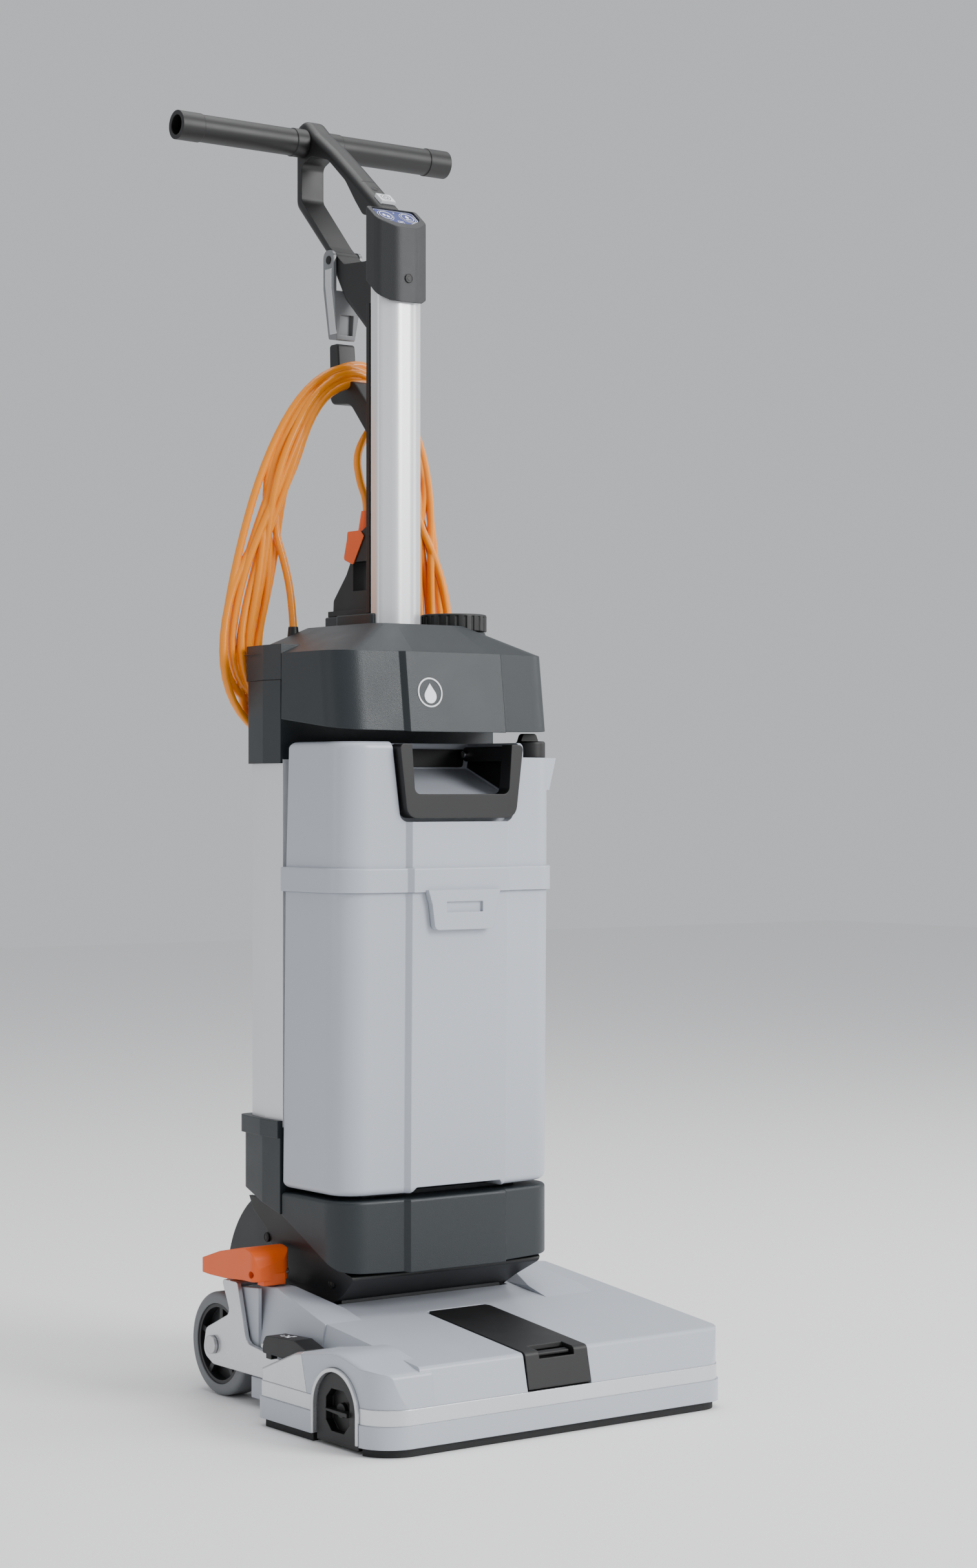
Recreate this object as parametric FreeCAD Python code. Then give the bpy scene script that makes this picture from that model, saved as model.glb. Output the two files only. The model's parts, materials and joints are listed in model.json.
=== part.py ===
import FreeCAD, Part
import math
import os

# Upright floor scrubber-dryer. Millimetres; +X right, +Y rearward, +Z up, origin on the floor
# under the centre of the machine. The machine faces -Y.

# ---- driving dimensions ----
DECK_HALF = 180.0           # half width of the deck
FRONT = -191.5              # foremost line of the deck
REAR = 191.5                # rearmost line of drum and handle
DECK_REAR = 62.0            # where the deck cover ends beside the drum
SKIRT_LOW, SKIRT_TOP = 7.0, 25.0
BAND_TOP = 38.0
TOP_FRONT_Z = 68.5          # height of the deck top at its front edge
TOP_SLOPE = 0.106           # rise of the deck top per mm rearward
WALL = 3.0                  # wall of the moulded covers

BODY_HALF = 113.5           # half width of tanks and housings
BODY_REAR = 54.0            # rear of the tanks
PANEL_HALF = 50.0           # half width of the proud centre panel
PANEL_Y = -49.0             # front of the proud centre panel
FACE_Y = -44.5              # front face beside the panel
CORNER_Y = -37.0            # front face at the outer corners
CORNER_R = 28.0

TILT_Y, TILT_Z = 98.5, 84.0     # axis on which the upright leans back
DRUM_R = 93.0
DRUM_HALF = 84.0
TILT_GAP = 1.5

BRUSH_Y, BRUSH_Z = -128.0, 30.0
BRUSH_R = 29.0
BRUSH_LEFT, BRUSH_RIGHT = -160.0, 150.0
PORT_R = 34.0               # arch opening for the brush

MOTOR_Y, MOTOR_Z = -48.0, 53.0
BELT_LOW, BELT_HIGH = 155.0, 166.0

LEVER_Y, LEVER_Z = -8.0, 36.0   # pivot of the wheel levers
AXLE_Y, AXLE_Z = 112.0, 45.0
WHEEL_R, WHEEL_W = 45.0, 26.0
WHEEL_OUT = 142.0           # outer face of a wheel
PEDAL_Y, PEDAL_Z = 46.0, 114.0  # pedal hinge

HOUSING_TOP = 181.0
TANK_LOW = 185.0
TANK_SPLIT = 440.0
TANK_TOP = 568.0
SHOULDER_X, SHOULDER_Y, SHOULDER_Z = 71.6, -4.0, 555.3   # low shoulder that carries the filler cap
CAP_X, CAP_Y = 99.0, -20.0
LID_LOW, LID_SHOULDER, LID_TOP = 575.0, 645.0, 671.0
COLUMN_HALF = 23.0
COLUMN_BACK = 53.0
HEAD_BACK = 54.5
PANEL_TILT = 38.5           # slope of the keypad
KEY_X = 11.5
LOOP_HALF = 12.0            # half width of the handle loop
BAR_Y, BAR_Z, BAR_R = 176.5, 1117.4, 12.25
BAR_HALF = 146.0
KNUCKLE_Y, KNUCKLE_Z = 129.0, 1004.0
CORD_D = 7.0
HANK_LEAN = 6.3             # the hank leans rearward, clear of the lid, as it hangs down

VEC = FreeCAD.Vector
PANEL_ROOT = VEC(0, 28, 1020.6)     # front edge of the head's sloping top
AXES = {"xy": VEC(0, 0, 1), "yz": VEC(1, 0, 0), "xz": VEC(0, 1, 0)}


# ---- shape helpers ----
def place(plane, a, b, at):
    """The point (a, b) of a plane standing at `at` along its normal."""
    return {"xy": VEC(a, b, at), "yz": VEC(at, a, b), "xz": VEC(a, at, b)}[plane]


def outline(plane, corners, at):
    """Closed wire through corners (a, b) or (a, b, radius), rounded by their radii."""
    spans = []
    count = len(corners)
    for index, corner in enumerate(corners):
        radius = corner[2] if len(corner) > 2 else 0.0
        here = VEC(corner[0], corner[1], 0)
        before, after = corners[index - 1], corners[(index + 1) % count]
        back = (VEC(before[0], before[1], 0) - here).normalize()
        ahead = (VEC(after[0], after[1], 0) - here).normalize()
        half = back.getAngle(ahead) / 2
        if radius > 0:
            reach = radius / math.tan(half)
            middle = here + (back + ahead).normalize() * (radius / math.sin(half) - radius)
            spans.append([here + back * reach, middle, here + ahead * reach])
        else:
            spans.append([here])
    edges = []
    for index, span in enumerate(spans):
        points = [place(plane, p.x, p.y, at) for p in span]
        if len(points) == 3:
            edges.append(Part.Arc(*points).toShape())
        nearest = spans[(index + 1) % count][0]
        start, end = points[-1], place(plane, nearest.x, nearest.y, at)
        if (end - start).Length > 1e-4:
            edges.append(Part.LineSegment(start, end).toShape())
    return Part.Wire(edges)


def prism(plane, corners, low, high):
    """Solid of the given outline between two levels of its plane's normal."""
    face = Part.Face(outline(plane, corners, low))
    return face.extrude(AXES[plane] * (high - low))


def loft(plane, sections):
    """Solid through (corners, level) sections with the same number of corners."""
    return Part.makeLoft([outline(plane, corners, at) for corners, at in sections], True, True)


def box(x0, x1, y0, y1, z0, z1):
    return Part.makeBox(x1 - x0, y1 - y0, z1 - z0, VEC(x0, y0, z0))


def rod(plane, a, b, radius, low, high):
    """Cylinder along a plane's normal through (a, b)."""
    return Part.makeCylinder(radius, high - low, place(plane, a, b, low), AXES[plane])


def tube(plane, a, b, outer, inner, low, high):
    return rod(plane, a, b, outer, low, high).cut(rod(plane, a, b, inner, low - 1, high + 1))


def cone(plane, a, b, radius_low, radius_high, low, high):
    return Part.makeCone(radius_low, radius_high, high - low, place(plane, a, b, low), AXES[plane])


def join(shapes):
    return shapes[0].fuse(shapes[1:]).removeSplitter()


def soften(shape, radius, wanted):
    """Round the edges whose middle point passes `wanted`."""
    edges = [e for e in shape.Edges if wanted(e.CenterOfMass)]
    return shape.makeFillet(radius, edges)


def sym(half):
    """Corners of the right half, from rear to front, repeated on the left."""
    return half + [(-corner[0],) + tuple(corner[1:]) for corner in reversed(half)]


NODES = {}


def node(name, *shapes):
    """Keep a named piece; several shapes are separate solids of one group."""
    NODES[name] = shapes[0] if len(shapes) == 1 else Part.makeCompound(list(shapes))


# ---- deck ----
def deck_plan(inset, low, high, rear=DECK_REAR):
    half = DECK_HALF - inset
    corners = [(half, rear, 8), (half, FRONT + inset, 20), (-half, FRONT + inset, 32),
               (-half, -12 - inset, 6), (-141 + inset, -12 - inset, 2), (-141 + inset, rear, 4)]
    return prism("xy", corners, low, high)


def top_z(y):
    """Height of the sloping deck top."""
    return TOP_FRONT_Z + TOP_SLOPE * (y - FRONT - 9)


def deck_block(inset, low):
    """Main wedge of the deck cover with the lower brush pod on its left."""
    front = FRONT + 1.5 + inset
    wedge = prism("yz", [(front, low), (front + 7, top_z(front + 7) - inset, 4),
                         (DECK_REAR + 1, top_z(DECK_REAR + 1) - inset), (DECK_REAR + 1, low)],
                  -150, DECK_HALF)
    sides = prism("xz", [(-142 + inset, low), (-130 + inset, 96), (177 - inset, 96, 4),
                         (DECK_HALF - inset, low)], FRONT, DECK_REAR + 2)
    pod = prism("yz", [(front, low), (front + 5, 65 - inset, 5), (-129, 78 - inset, 70),
                       (-66, 68 - inset, 30), (-12 - inset, 47 - inset, 5), (-12 - inset, low)],
                -DECK_HALF + inset, -125)
    if inset == 0:
        pod = soften(pod, 6, lambda c: c.x < -179 and c.z > low + 12)
    rise = prism("yz", [(-45, low), (-45, top_z(-45) - inset), (34, 102.5 - inset, 8),
                        (DECK_REAR + 1, 101.5 - inset), (DECK_REAR + 1, low)], -150, DECK_HALF)
    flanks = [prism("xz", [(-142 + inset, low), (-131 + inset, 103, 3), (-113 - inset, 103, 3),
                           (-97 - inset, 89), (-97 - inset, low)], FRONT, DECK_REAR + 2),
              prism("xz", [(97 + inset, low), (97 + inset, 89), (113 + inset, 103, 3), (131 - inset, 103, 3),
                           (150, 88), (150, low)], FRONT, DECK_REAR + 2)]
    ribs = [rise.common(flank) for flank in flanks]
    block = wedge.common(sides).fuse([pod] + ribs).removeSplitter()
    return block.common(deck_plan(1.5 + inset, low - 1, 120, DECK_REAR - inset))


def port_shape(radius, x0, x1, low):
    """Arch that the brush passes through: round above, straight legs below."""
    arch = rod("yz", BRUSH_Y, 31, radius, x0, x1)
    return arch.fuse(box(x0, x1, BRUSH_Y - radius, BRUSH_Y + radius, low, 31))


def seam_block(gap):
    """Region behind the slanted seam that divides the pod."""
    return prism("yz", [(-71 + gap, 90), (-87 + gap, 30), (-5, 30), (-5, 90)], -185, -141.5)


RECESS = box(-92, 92, 4.5, 120, 20, 130)
COVER_SLOT = prism("xy", [(33, -42.6, 9), (33, -200), (-33, -200), (-33, -42.6, 9)], 30, 120)


def build_deck():
    shell = deck_block(0, BAND_TOP).cut(deck_block(WALL, BAND_TOP - 5))
    shell = shell.cut([RECESS, COVER_SLOT, port_shape(PORT_R, -190, -150, 0)])
    arm_slot = box(136, 156, 40, 80, 10, 62).fuse([
        box(141, 149, -12, 80, 15, 50), box(-149, -142, -36, 6, 20, 52),
        rod("yz", LEVER_Y, LEVER_Z, 6.4, -150, -130)])
    wing = prism("yz", [(48, 40), (60, 40), (62.5, 62), (75, 82), (79, 99, 3), (48, 101.5)], -140.8, -137.6)
    cover = shell.cut([seam_block(-0.4), arm_slot])
    node("deck_cover", join([cover, wing.cut(cover)]))
    node("pod_cover", shell.common(seam_block(0)).cut(arm_slot))

    band = deck_plan(1.0, SKIRT_TOP, BAND_TOP).cut(deck_plan(4.5, SKIRT_TOP - 1, BAND_TOP + 1))
    band = band.cut([RECESS, port_shape(PORT_R, -190, -150, 0), arm_slot])
    node("trim_band", band)

    skirt = deck_plan(0, SKIRT_LOW, SKIRT_TOP).cut(deck_plan(WALL, SKIRT_LOW - 1, SKIRT_TOP + 1))
    floor = deck_plan(1, SKIRT_TOP - WALL, SKIRT_TOP)
    tail = box(-112, 112, DECK_REAR - 2, 88, 9, 28).cut(box(-109, 109, DECK_REAR - 3, 85, 5, 25))
    brush_bay = box(-190, 154.5, BRUSH_Y - PORT_R, BRUSH_Y + PORT_R, 0, 60)
    belt_bay = box(154, 170, BRUSH_Y - 34, -62, 0, 60)
    channel = box(-30, 30, -182, -166, 0, 40)
    pan = skirt.fuse([floor, tail]).cut([brush_bay, belt_bay, channel, arm_slot])
    node("chassis_pan", pan.removeSplitter())

    ring = port_shape(PORT_R - 0.3, -181, -172, 8).cut(port_shape(PORT_R - 3.5, -190, -160, 0))
    ring = ring.common(box(-190, -160, -200, 0, 8, 80))
    node("arch_ring", ring)
    front_blade = deck_plan(3.4, 0, SKIRT_LOW + 6).cut(deck_plan(8, -1, 30))
    keep = box(-190, 190, FRONT, -150, -1, 30).fuse([box(150, 190, FRONT, 40, -1, 30),
                                                     box(-190, -150, -92, -20, -1, 30)])
    front_blade = front_blade.common(keep)
    node("front_squeegee", front_blade.cut(brush_bay))
    blades = [box(-108, 108, y, y + 3, 0, 22) for y in (70, 78)]
    holder = box(-108, 108, 73, 78, 12, 22)
    node("rear_squeegee", join(blades + [holder]))
    trough = box(-28.5, 28.5, -160, -52, 60.5, 65).cut(box(-26, 26, -157, -54, 62, 70))
    node("suction_channel", trough)


def build_drum():
    outer = rod("yz", TILT_Y, TILT_Z, DRUM_R, -DRUM_HALF, DRUM_HALF)
    hollow = rod("yz", TILT_Y, TILT_Z, DRUM_R - WALL, -DRUM_HALF + WALL, DRUM_HALF - WALL)
    cut_low = box(-100, 100, 0, 200, -20, 56)
    shell = outer.cut(hollow).cut(cut_low)
    floor = outer.common(box(-100, 100, 0, 200, 56, 59))
    legs = [box(side * 79 - 3, side * 79 + 3, 66, 86, 28, 56.5) for side in (-1, 1)]
    pin_holes = rod("yz", TILT_Y, TILT_Z, 8, -100, 100)
    node("pivot_drum", join([shell, floor] + legs).cut(pin_holes))
    pins = [rod("yz", TILT_Y, TILT_Z, 8, low, low + 24) for low in (-98, 74)]
    lever_pin = rod("yz", 12, 60, 2, -160, -139.2)
    pedal_pin = rod("yz", PEDAL_Y, PEDAL_Z, 3, -144, -113)
    node("pivot_pins", *pins, lever_pin, pedal_pin)
    motor = rod("yz", 104, 92, 50, -62, 2).fuse([rod("yz", 104, 92, 66, 2, 52),
                                                 rod("yz", 104, 92, 20, 52, 64)])
    feet = [box(x - 6, x + 6, 84, 124, 59, 66) for x in (-50, -10)]
    node("suction_motor", motor.fuse(feet).cut(box(-70, 70, 20, 190, 0, 59)).removeSplitter())
    body = rod("yz", MOTOR_Y, MOTOR_Z, 23, 45, 148)
    cradle = box(60, 130, MOTOR_Y - 14, MOTOR_Y + 14, SKIRT_TOP, 40)
    node("brush_motor", body.fuse(cradle).removeSplitter())


def belt_loop(width):
    """Solid run around both pulleys, `width` outside their faces."""
    big, small = 22 + width, 11 + width
    between = VEC(0, MOTOR_Y - BRUSH_Y, MOTOR_Z - BRUSH_Z)
    tilt = math.atan2(between.z, between.y)
    lean = math.asin((big - small) / between.Length)
    points = []
    for centre, radius in (((BRUSH_Y, BRUSH_Z), big), ((MOTOR_Y, MOTOR_Z), small)):
        for side in (1, -1):
            angle = tilt + side * (math.pi / 2 - lean)
            points.append((centre[0] + radius * math.cos(angle), centre[1] + radius * math.sin(angle)))
    quad = prism("yz", [points[0], points[1], points[3], points[2]], BELT_LOW, BELT_HIGH)
    discs = [rod("yz", BRUSH_Y, BRUSH_Z, big, BELT_LOW, BELT_HIGH),
             rod("yz", MOTOR_Y, MOTOR_Z, small, BELT_LOW, BELT_HIGH)]
    return quad.fuse(discs).removeSplitter()


def build_drive():
    node("drive_belt", belt_loop(2.5).cut(belt_loop(0.4)))
    wheel = rod("yz", BRUSH_Y, BRUSH_Z, 22, BELT_LOW, BELT_HIGH)
    dog = rod("yz", BRUSH_Y, BRUSH_Z, 7.6, BRUSH_RIGHT + 0.4, BELT_LOW)
    node("brush_pulley", wheel.fuse(dog))
    node("motor_pulley", rod("yz", MOTOR_Y, MOTOR_Z, 11, BELT_LOW, BELT_HIGH)
         .fuse(rod("yz", MOTOR_Y, MOTOR_Z, 4, 148.4, BELT_LOW)))

    core = tube("yz", BRUSH_Y, BRUSH_Z, 14, 9, BRUSH_LEFT, BRUSH_RIGHT)
    node("brush_core", core.fuse(rod("yz", BRUSH_Y, BRUSH_Z, 9.5, 20, BRUSH_RIGHT)))
    tufts = tube("yz", BRUSH_Y, BRUSH_Z, BRUSH_R, 14, BRUSH_LEFT + 8, BRUSH_RIGHT - 6)
    node("brush_bristles", tufts)

    plate = port_shape(PORT_R - 4.2, -177, -166, 3)
    pocket = prism("yz", [(BRUSH_Y + a, 30 + b) for a, b in
                          ((17, 9), (9, 17), (-9, 17), (-17, 9), (-17, -9), (-9, -17), (9, -17), (17, -9))],
                   -180, -170)
    fin = prism("yz", [(BRUSH_Y - 17.2, 27.5), (BRUSH_Y - 17.2, 31), (BRUSH_Y + 14, 31),
                       (BRUSH_Y + 17.2, 29.5)], -180, -169)
    boss = rod("yz", BRUSH_Y, BRUSH_Z, 6, -174, -169)
    stub = rod("yz", BRUSH_Y, BRUSH_Z, 8.95, -167, -140)
    cap = plate.cut(pocket).fuse([fin, boss, stub]).cut(box(-190, -100, -200, 0, -5, 3))
    node("brush_cap", cap.removeSplitter())

    lever = prism("yz", [(-60, 55, 3), (-60, 66, 4), (-40, 72, 6), (4, 70, 6), (8, 60, 3), (8, 55, 2)],
                  -162, -144)
    ear = box(-156, -150, 4, 12, 49, 60).fuse(rod("yz", 12, 60, 5, -156, -150))
    lever = lever.fuse(ear).cut([rod("yz", 12, 60, 2.05, -170, -130), deck_block(-0.6, 30)])
    node("release_lever", lever.removeSplitter())

    rise = top_z(-45)
    slab = prism("yz", [(-190.2, 38.8, 1), (-184.5, top_z(-184.5) + 0.8, 4), (-45, rise + 0.8, 2),
                        (-45, rise - 5)], -32, 32)
    below = prism("yz", [(-165, 30), (-165, 61.5), (-49, rise - 5), (-49, 30)], -40, 40)
    plan = prism("xy", [(32, -45, 8), (32, -195), (-32, -195), (-32, -45, 8)], 30, 120)
    hollow = prism("yz", [(-187, 30), (-181.5, top_z(-181.5) - 3), (-49, rise - 6), (-49, 30)], -29, 29)
    finger = prism("yz", [(-200, 64), (-200, 90), (-166, 90), (-169, 66, 2), (-177, 62)], -18, 18)
    step_top = top_z(-164) - 2
    floor = prism("yz", [(-189, 44), (-178, 58, 2), (-164, 61, 2), (-164, step_top), (-162, step_top),
                         (-162, 58), (-178, 54), (-186, 42)], -21, 21)
    cheeks = [box(side * 19.5 - 1.5, side * 19.5 + 1.5, -186, -162, 44, 68) for side in (-1, 1)]
    skin = slab.cut([below, hollow, finger])
    shelf = floor.fuse(cheeks).common(slab.cut(below))
    node("duct_cover", skin.fuse(shelf).common(plan).removeSplitter())
    latch = prism("yz", [(-181, 63.5, 1), (-181, 66.5, 1), (-174.2, 67.3, 1), (-174.2, 64.3, 1)], -16, 16)
    node("duct_latch", latch)


# ---- wheel levers ----
def build_wheels():
    arm = prism("yz", [(98, 104, 3), (73, 104, 3), (58, 54, 10), (-24, 44, 7), (-24, 28, 7), (112, 28, 14),
                       (129, 36, 10), (124, 58, 8), (84, 76, 6)], -147, -143)
    foot = rod("yz", 85.5, 101, 3.4, -147, -120)
    bores = rod("yz", LEVER_Y, LEVER_Z, 6, -160, 160).fuse(rod("yz", AXLE_Y, AXLE_Z, 5, -160, 160))
    right = prism("yz", [(58, 52, 10), (-24, 44, 7), (-24, 28, 7), (112, 28, 14), (129, 36, 10),
                         (124, 58, 8), (104, 62, 6)], 143, 147)
    node("wheel_lever_left", arm.fuse(foot).cut(bores))
    node("wheel_lever_right", right.cut(bores))
    axle = rod("yz", AXLE_Y, AXLE_Z, 5, -149, 149)
    caps = [rod("yz", AXLE_Y, AXLE_Z, 8, low, low + 3) for low in (-150.5, 147.5)]
    node("wheel_shafts", rod("yz", LEVER_Y, LEVER_Z, 6, -147, 147), join([axle] + caps))

    for name, side in (("left", -1), ("right", 1)):
        inner, outer = WHEEL_OUT - WHEEL_W, WHEEL_OUT
        low, high = sorted((side * inner, side * outer))
        tyre = tube("yz", AXLE_Y, AXLE_Z, WHEEL_R, 35, low, high)
        tyre = tyre.makeFillet(4, [e for e in tyre.Edges if e.BoundBox.ZMax > AXLE_Z + 40 and e.Length > 250])
        rim = tube("yz", AXLE_Y, AXLE_Z, 35, 31.5, low + 1, high - 1)
        hub = rod("yz", AXLE_Y, AXLE_Z, 11, low + 1, high - 1)
        web = rod("yz", AXLE_Y, AXLE_Z, 32, side * 130 - 2, side * 130 + 2)
        spokes = []
        for turn in range(5):
            rib = box(low + 3, high - 3, AXLE_Y + 9, AXLE_Y + 32.5, AXLE_Z - 2.5, AXLE_Z + 2.5)
            rib.rotate(VEC(0, AXLE_Y, AXLE_Z), VEC(1, 0, 0), 72 * turn + 90)
            spokes.append(rib)
        wheel = join([rim, hub, web] + spokes).cut(rod("yz", AXLE_Y, AXLE_Z, 5.05, -160, 160))
        node("wheel_hub_" + name, wheel)
        node("tyre_" + name, tyre)

    plan = prism("xy", [(-111, 42, 10), (-111.5, 80, 30), (-132, 131, 6), (-150, 131, 8),
                        (-150, 40, 6)], 90, 150)
    side = prism("yz", [(38, 108, 2), (43, 132.5, 10), (58, 136, 20), (96, 128.5, 10), (130, 118, 6),
                        (130, 107, 5), (112, 106, 4), (86, 106, 8), (60, 108, 6)], -160, -100)
    pedal = plan.common(side)
    under = prism("yz", [(54, 90), (54, 112), (122, 107.5), (122, 90)], -147.6, -115)
    pedal = pedal.cut(under)
    lug = box(-140, -118, PEDAL_Y - 5, PEDAL_Y + 5, 104, PEDAL_Z)
    node("foot_pedal", pedal.fuse(lug).cut(rod("yz", PEDAL_Y, PEDAL_Z, 3.05, -160, -100)).removeSplitter())


# ---- upright: housings ----
def body_plan(inset, rear=BODY_REAR, lean=0.0):
    """Plan corners of tanks and housings; `lean` moves the front face rearward."""
    half = BODY_HALF - inset
    front = inset + lean
    return sym([(half, rear), (half, CORNER_Y + front, CORNER_R - inset),
                (PANEL_HALF + 4, FACE_Y + front), (PANEL_HALF, PANEL_Y + front)])


def frame_plan(grow, rear):
    """Plan corners of the back profile and its brackets."""
    return sym([(106 + grow, rear, 10), (112 + grow, 84, 3), (112 + grow, 55.5)])


SADDLE = rod("yz", TILT_Y, TILT_Z, DRUM_R + TILT_GAP, -DRUM_HALF - 0.6, DRUM_HALF + 0.6)


def build_lower():
    side = prism("yz", [(BODY_REAR, 200), (BODY_REAR, 161), (-28, 122, 14), (-60, 117),
                        (-60, 200)], -120, 120)
    outer = soften(prism("xy", body_plan(0), 100, HOUSING_TOP), 3, lambda c: c.z > HOUSING_TOP - 0.1)
    outer = outer.common(side)
    inner = prism("xy", body_plan(WALL, BODY_REAR + 5), 90, HOUSING_TOP - WALL)
    seat = box(-80, 80, -20, 40, HOUSING_TOP - 1, TANK_LOW - 0.4)
    node("lower_housing", outer.cut(inner).fuse(seat).cut(SADDLE).removeSplitter())

    front_view = sym([(110.4, 172), (108.4, 136, 20), (91, 98, 10), (91, 58)])
    side_view = [(BODY_REAR - 4, 172), (BODY_REAR - 4, 158.6), (-25, 119.5, 14), (-38, 116.6, 3), (9, 88.5, 4),
                 (70, 70, 8), (84, 58, 6), (TILT_Y + 20, 60, 12), (TILT_Y + 28, 90, 16), (78, 120, 12),
                 (86, 146, 6), (106, 160, 8), (112, 172)]
    shell = prism("xz", front_view, -60, 130).common(prism("yz", side_view, -120, 120))
    inside_view = sym([(107, 176), (105.4, 139, 18), (88, 99, 8), (88, 95), (84.6, 94), (84.6, 40)])
    inside_side = [(BODY_REAR + 60, 180), (-20, 180), (-20, 121), (-28, 118), (14, 92), (120, 92), (120, 180)]
    hollow = prism("xz", inside_view, -60, 130).common(prism("yz", inside_side, -120, 120))
    bore = rod("yz", TILT_Y, TILT_Z, 8.05, -120, 120)
    under = prism("yz", [(-60, 200), (-60, 117), (-28, 122), (BODY_REAR, 161), (BODY_REAR, 200)], -120, 120)
    bracket_room = prism("yz", [(54.6, 161.4), (130, 180.6), (130, 240), (54.6, 240)], -120, 120)
    node("lower_shell", shell.cut([hollow, SADDLE, bore, under, bracket_room]).removeSplitter())

    cut_low = prism("yz", [(50, 100), (50, 160.5), (56, 161.8), (129, 181), (129, 100)], -130, 130)
    bracket = prism("xy", frame_plan(2.5, 126), 155, 242).cut(cut_low)
    lip = prism("xy", frame_plan(5, 129), 227, 242)
    bracket = bracket.fuse(lip).cut(prism("xy", frame_plan(-0.2, 119.3), 190, 250).common(
        box(-130, 130, 50, 130, 236, 250)))
    core = prism("xy", frame_plan(-2.5, 117), 100, 232).common(box(-130, 130, 60, 130, 100, 232))
    hose_hole = rod("xy", 60, 90, 17.3, 225, 630)
    node("lower_bracket", bracket.cut([core, SADDLE, hose_hole]).removeSplitter())

    profile = prism("xy", frame_plan(-0.4, 119), 236.5, 553.5)
    node("back_profile", profile.cut(prism("xy", frame_plan(-3, 116.5), 230, 560).common(
        box(-120, 120, 58.5, 130, 230, 560))))

    top = prism("xy", frame_plan(2, 122), 550, 622).cut(prism("xy", frame_plan(-0.2, 119.3), 540, 554).common(
        box(-130, 130, 50, 130, 540, 553.7)))
    inside = prism("xy", frame_plan(-2, 117.5), 540, 620).common(box(-130, 130, 58.5, 130, 540, 630))
    node("upper_bracket", top.cut([inside, hose_hole]))
    screws = []
    for side in (-1, 1):
        for y, z, x in ((85, 138, 107.6), (4, 107, 93.5)):
            low, high = sorted((side * (x - 9), side * (x + 2.2)))
            screws.append(rod("yz", y, z, 4.2, low, high))
    screws.append(rod("xz", 0, 975, 4, 25.2, 29))
    gate_pin = rod("yz", KNUCKLE_Y, KNUCKLE_Z, 3.6, -16.4, 16.4)
    node("screws_and_pin", *screws, gate_pin)


def build_lid():
    lower = loft("xy", [(body_plan(-0.5, 54.5), LID_LOW), (body_plan(0, 54.5, 8), LID_SHOULDER)])
    cavity = loft("xy", [(body_plan(2.5, 51), LID_LOW - 1), (body_plan(4, 51, 8), LID_SHOULDER - 4)])
    back = prism("xy", frame_plan(1.5, 126), 622.3, LID_SHOULDER + 8).cut(
        prism("xy", frame_plan(-2, 122), 620, LID_SHOULDER + 3).common(box(-120, 120, 58.5, 130, 600, 700)))
    slope = loft("xy", [(sym([(113, 124, 10), (113, -29, 26), (52, -36, 2), (40, -38, 2)]), LID_SHOULDER),
                        (sym([(50, 118, 10), (50, 8, 14), (38, 4, 4), (30, 3, 4)]), LID_TOP)])
    collar = prism("xy", sym([(20, 130, 3), (20, 103, 1), (27, 102, 5), (27, 44, 3)]), 660, 682)
    collar = soften(collar, 1.5, lambda c: c.z > 681.9)
    neck = cone("xy", 60, 42, 36, 28, 646, 667)
    room = prism("xy", column_plan(0.2), 600, 700)
    rising = prism("yz", [(-60, 560), (-60, 575.2), (-40, 577.6), (58, 588.5), (58, 560)], -130, 130)
    lid = join([lower.cut([cavity, rising]), back, slope, collar, neck])
    inside = box(-92, 92, 10, 108, 600, 641)
    cap_room = rod("xy", 60, 42, 20, 640, 700).fuse(rod("xy", 60, 42, 32.4, 667.5, 700))
    lid = lid.cut([room, inside, cap_room])
    node("lid", lid.cut(box(-130, 130, 54.6, 140, 540, 622.2)))
    cap = rod("xy", 60, 42, 29.5, 668, 683)
    ribs = []
    for turn in range(24):
        angle = math.radians(15 * turn)
        ribs.append(rod("xy", 60 + 30 * math.cos(angle), 42 + 30 * math.sin(angle), 1.6, 666, 681))
    cap = soften(cap, 1.5, lambda c: c.z > 682).cut(ribs)
    plug = rod("xy", 60, 42, 19.9, 656, 668.5)
    node("lid_cap", cap.fuse(plug))


def column_plan(grow):
    return sym([(COLUMN_HALF + grow, COLUMN_BACK + grow, 3), (COLUMN_HALF + grow, 39 - grow, 7),
                (9, 30 - grow, 16)])


def build_column():
    column = prism("xy", column_plan(0), 650, 985).cut(prism("xy", column_plan(-2.5), 640, 990))
    node("column", column)
    node("column_strip", box(-23.4, 23.4, COLUMN_BACK, COLUMN_BACK + 4.5, 682.5, 954.8))

    skin = prism("xy", sym([(27, HEAD_BACK, 3), (27, 36, 8), (10, 26, 16)]), 945, 1060)
    view = prism("yz", [(20, 952.5), (20, 1014), (28, 1020.6, 3), (HEAD_BACK + 1, 1042.5),
                        (HEAD_BACK + 1, 977), (30, 955)], -40, 40)
    cap = soften(skin.common(view), 1.5, lambda c: c.z > 1016)
    cap = cap.cut([prism("xy", column_plan(0.1), 940, 985.2), keypad_room(0)])
    node("head_cap", cap)
    face = keypad_room(0.1).common(keypad_slab(0, 1.6))
    for x in (-KEY_X, KEY_X):
        face = face.cut(key_disc(x, 7.4, -1, 3))
    node("keypad_panel", face)
    node("key_water", key_disc(-KEY_X, 7.0, 0.8, 1.9))
    node("key_suction", key_disc(KEY_X, 7.0, 0.8, 1.9))
    node("power_button", button_room(0))


def slanted(shape):
    """Turn a shape drawn level with its origin at the head's front edge onto the slope."""
    shape.translate(PANEL_ROOT)
    shape.rotate(PANEL_ROOT, VEC(1, 0, 0), PANEL_TILT)
    return shape


def keypad_slab(low, high):
    return slanted(box(-40, 40, 0, 40, low - 3.2, high - 3.2))


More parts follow.
